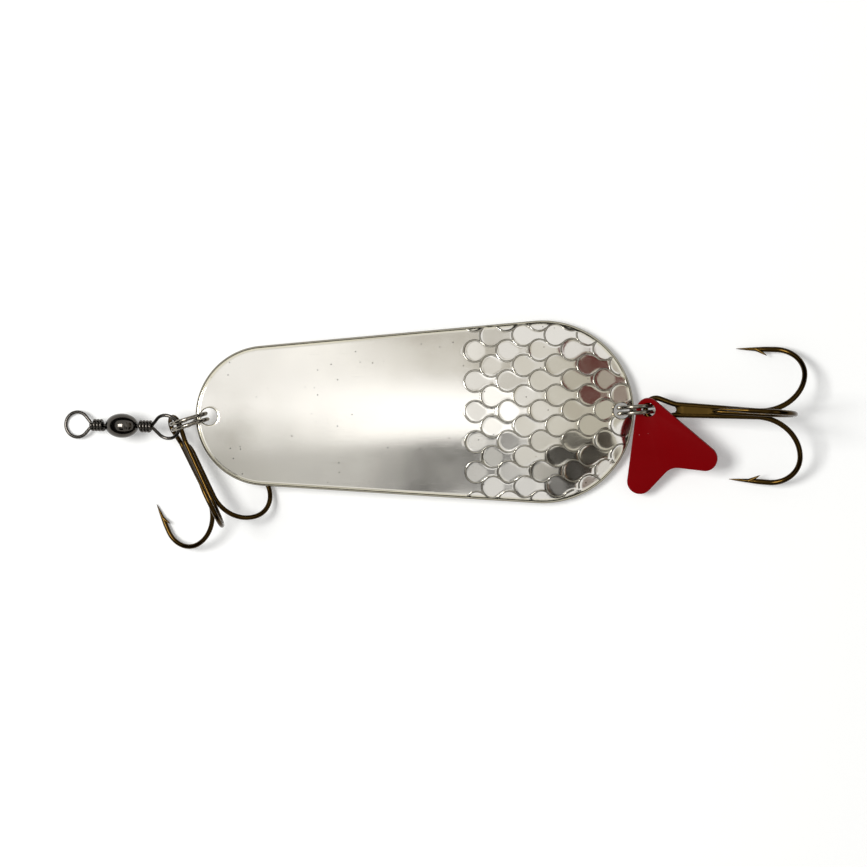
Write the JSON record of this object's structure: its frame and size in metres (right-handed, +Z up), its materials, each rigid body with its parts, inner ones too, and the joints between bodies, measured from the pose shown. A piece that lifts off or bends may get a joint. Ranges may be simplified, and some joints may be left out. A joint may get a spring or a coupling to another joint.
{
  "type": "spoon lure",
  "caption": "Domed metal fishing spoon with scale-embossed tail, barrel swivel at its head, treble hooks on split rings at both ends and a red fish-tail tag.",
  "frame": {"origin": "on the table under the middle of the whole lure at rest", "axes": "+X along the blade from its head with the swivel to its tail, +Z up out of the domed face, the lure lying flat"},
  "size_m": [0.1698, 0.0512, 0.0293],
  "materials": {
    "nickel_plated_brass": "polished nickel plate over brass",
    "nickel_plated_steel": "nickel-plated spring steel wire",
    "black_nickel": "black nickel plate",
    "bronzed_steel": "bronze lacquer over steel",
    "braze": "dull braze, lacquered",
    "red_plastic": "deep red, satin gloss"
  },
  "bodies": {
    "blade": {"blade": "nickel_plated_brass"},
    "front_ring": {"front_split_ring": "nickel_plated_steel"},
    "swivel_ring_eye": {"swivel_ring_eye": "black_nickel"},
    "swivel_barrel": {"swivel_barrel": "black_nickel"},
    "swivel_line_eye": {"swivel_line_eye": "black_nickel"},
    "front_treble": {"front_treble_double_hook": "bronzed_steel", "front_treble_third_hook": "bronzed_steel", "front_treble_braze": "braze"},
    "tail_ring": {"tail_split_ring": "nickel_plated_steel"},
    "tail_tag": {"tail_tag": "red_plastic"},
    "tail_treble": {"tail_treble_double_hook": "bronzed_steel", "tail_treble_third_hook": "bronzed_steel", "tail_treble_braze": "braze"}
  },
  "joints": [
    {"name": "front_ring_swing", "type": "hinge", "parent": "blade", "child": "front_ring", "pos_m": [-0.05396, 0.00453, 0.00731], "axis": [0.2857, -0.9583, 0], "range_deg": [-50, 6]},
    {"name": "swivel_swing", "type": "hinge", "parent": "front_ring", "child": "swivel_ring_eye", "pos_m": [-0.0598, 0.00225, 0.00916], "axis": [0.1334, 0.0398, 0.9903], "range_deg": [-32, 14]},
    {"name": "swivel_barrel_spin", "type": "hinge", "parent": "swivel_ring_eye", "child": "swivel_barrel", "pos_m": [-0.07147, 0.00272, 0.00503], "axis": [-0.9419, 0.0378, -0.3338], "continuous": true},
    {"name": "line_eye_spin", "type": "hinge", "parent": "swivel_barrel", "child": "swivel_line_eye", "pos_m": [-0.07147, 0.00272, 0.00503], "axis": [-0.9419, 0.0378, -0.3338], "continuous": true},
    {"name": "front_treble_swing", "type": "hinge", "parent": "front_ring", "child": "front_treble", "pos_m": [-0.05917, 0.00244, 0.00629], "axis": [-0.5359, -0.1598, 0.829], "range_deg": [-60, 0]},
    {"name": "tail_ring_swing", "type": "hinge", "parent": "blade", "child": "tail_ring", "pos_m": [0.04493, 0.00453, 0.0031], "axis": [-0.0489, 0.9988, 0], "range_deg": [-8, 60]},
    {"name": "tail_treble_swing", "type": "hinge", "parent": "tail_ring", "child": "tail_treble", "pos_m": [0.04995, 0.00492, 0.00617], "axis": [-0.2077, -0.0102, 0.9781], "range_deg": [-8, 80]},
    {"name": "tail_tag_swing", "type": "hinge", "parent": "tail_ring", "child": "tail_tag", "pos_m": [0.04908, 0.00487, 0.00795], "axis": [-0.64, -0.0313, 0.7678], "range_deg": [-4, 18]}
  ]
}
